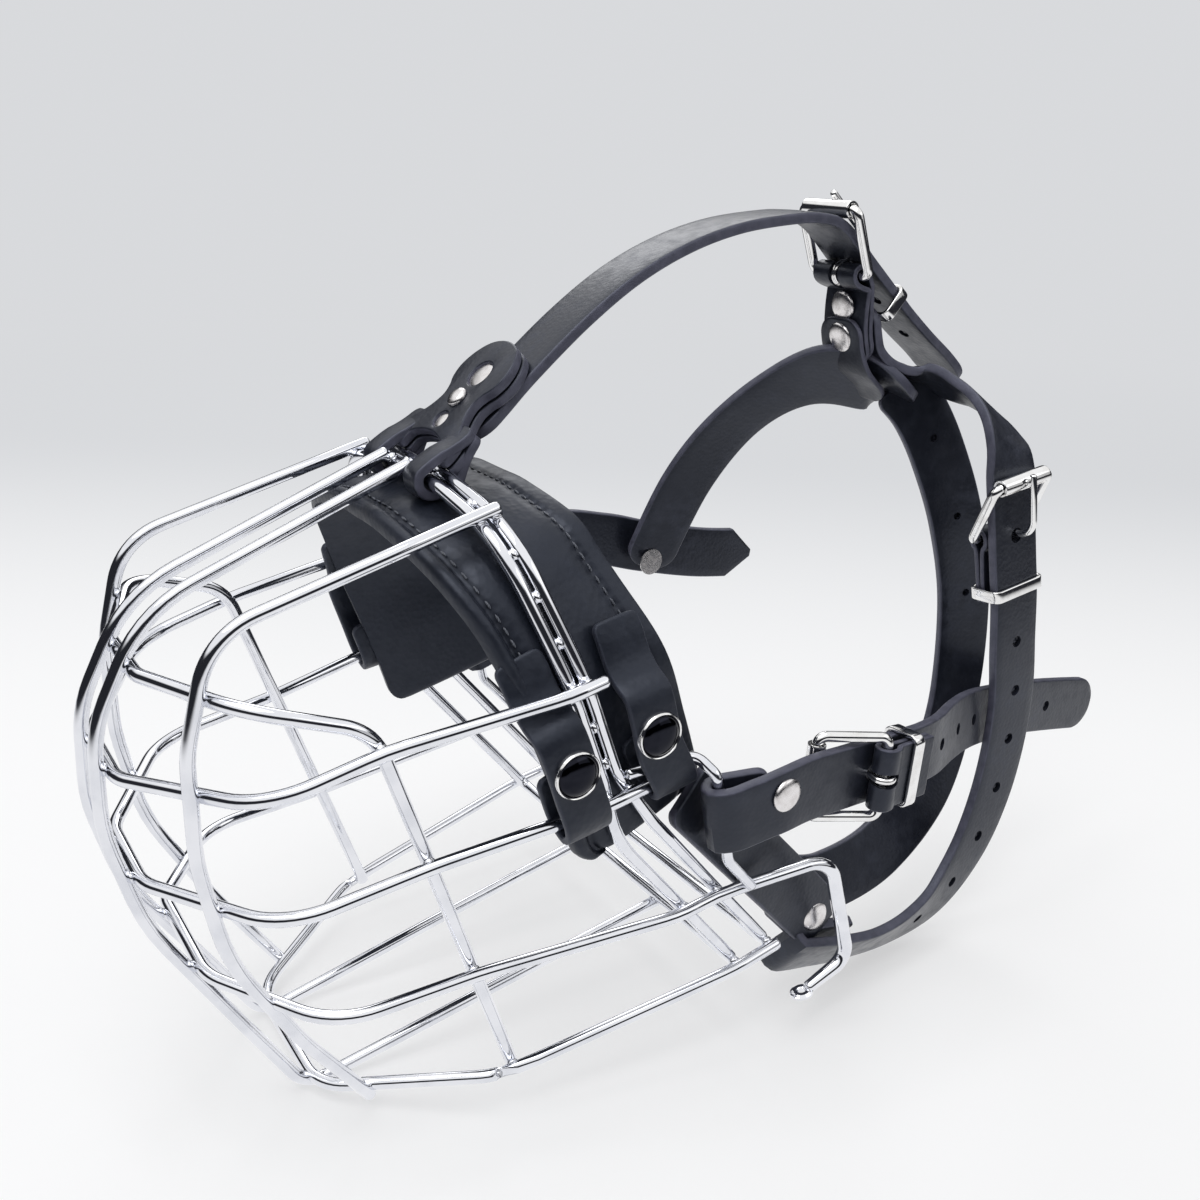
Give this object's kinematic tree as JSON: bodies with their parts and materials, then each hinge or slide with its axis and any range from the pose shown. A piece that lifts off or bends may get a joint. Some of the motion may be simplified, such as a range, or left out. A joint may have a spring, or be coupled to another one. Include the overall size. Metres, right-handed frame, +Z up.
{
  "type": "basket muzzle",
  "caption": "Open wire basket muzzle for a dog, with a padded nose saddle and a black leather harness of buckled straps.",
  "frame": {"origin": "on the floor under the middle of the whole muzzle, as it stands on its lower nose wires and its collar", "axes": "+X from the nose back towards the neck, +Y to the animal's right as the snout enters, +Z up; the basket is tipped nose down by 12 degrees"},
  "size_m": [0.2878, 0.1326, 0.2006],
  "materials": {
    "chromed_wire": "bright chrome plating, mirror smooth, on welded round wire",
    "buckle_chrome": "bright chrome plating with light handling marks",
    "rivet_nickel": "nickel plated rivet heads, slightly hammered",
    "snap_metal": "dark domed snap caps with bright rims",
    "pad_leather": "soft black leather, fine grain, semi-matt, stitched",
    "strap_leather": "smooth black harness leather with a satin face and grey burnished edges"
  },
  "bodies": {
    "root": {"rim_front": "chromed_wire", "rim_rear": "chromed_wire", "nose_arch": "chromed_wire", "bow_upper": "chromed_wire", "bow_middle": "chromed_wire", "bow_lower": "chromed_wire", "bow_base": "chromed_wire", "rib_inner_near": "chromed_wire", "rib_inner_far": "chromed_wire", "rib_outer_near": "chromed_wire", "rib_outer_far": "chromed_wire", "side_ring_near": "chromed_wire", "side_ring_far": "chromed_wire", "nose_pad": "pad_leather", "pad_tabs": "pad_leather", "snap_caps": "snap_metal", "crown_link": "strap_leather", "link_rivet": "rivet_nickel", "forehead_strap": "strap_leather", "crown_buckle": "buckle_chrome", "crown_tab": "strap_leather", "neck_yoke": "strap_leather", "tab_rivets": "rivet_nickel", "cheek_strap_far": "strap_leather", "far_rivet": "rivet_nickel", "cheek_strap": "strap_leather", "cheek_fold": "strap_leather", "cheek_buckle": "buckle_chrome", "cheek_rivet": "rivet_nickel", "collar_strap": "strap_leather", "collar_fold": "strap_leather", "collar_buckle": "buckle_chrome", "collar_inner": "strap_leather", "throat_strap": "strap_leather", "throat_rivet": "rivet_nickel"},
    "crown_roller": {"crown_roller": "buckle_chrome"},
    "crown_prong": {"crown_prong": "buckle_chrome"},
    "crown_keeper": {"crown_keeper": "buckle_chrome"},
    "cheek_roller": {"cheek_roller": "buckle_chrome"},
    "cheek_prong": {"cheek_prong": "buckle_chrome"},
    "cheek_keeper": {"cheek_keeper": "buckle_chrome"},
    "collar_roller": {"collar_roller": "buckle_chrome"},
    "collar_prong": {"collar_prong": "buckle_chrome"},
    "collar_keeper": {"collar_keeper": "buckle_chrome"}
  },
  "joints": [
    {"name": "crown_roller_turn", "type": "hinge", "parent": "root", "child": "crown_roller", "pos_m": [0.04557, 0.00251, 0.19591], "axis": [0, 1, 0], "continuous": true},
    {"name": "crown_prong_lift", "type": "hinge", "parent": "root", "child": "crown_prong", "pos_m": [0.05174, 0.00251, 0.17987], "axis": [0, 1, 0], "range_deg": [0, 9]},
    {"name": "crown_keeper_slide", "type": "slide", "parent": "root", "child": "crown_keeper", "axis": [0.7694, 0, -0.6387], "range_m": [-0.002, 0.002]},
    {"name": "cheek_roller_turn", "type": "hinge", "parent": "root", "child": "cheek_roller", "pos_m": [0.00199, -0.05621, 0.07331], "axis": [-0.0577, 0, -0.9983], "continuous": true},
    {"name": "cheek_prong_lift", "type": "hinge", "parent": "root", "child": "cheek_prong", "pos_m": [0.01767, -0.06321, 0.0724], "axis": [-0.0577, 0, -0.9983], "range_deg": [0, 9]},
    {"name": "cheek_keeper_slide", "type": "slide", "parent": "root", "child": "cheek_keeper", "axis": [0.9942, 0.091, -0.0574], "range_m": [-0.002, 0.002]},
    {"name": "collar_roller_turn", "type": "hinge", "parent": "root", "child": "collar_roller", "pos_m": [0.07906, -0.04228, 0.13186], "axis": [0.9889, 0, 0.1486], "continuous": true},
    {"name": "collar_prong_lift", "type": "hinge", "parent": "root", "child": "collar_prong", "pos_m": [0.08139, -0.03526, 0.11634], "axis": [0.9889, 0, 0.1486], "range_deg": [0, 9]},
    {"name": "collar_keeper_slide", "type": "slide", "parent": "root", "child": "collar_keeper", "axis": [0.148, -0.09, -0.9849], "range_m": [-0.002, 0.002]}
  ]
}
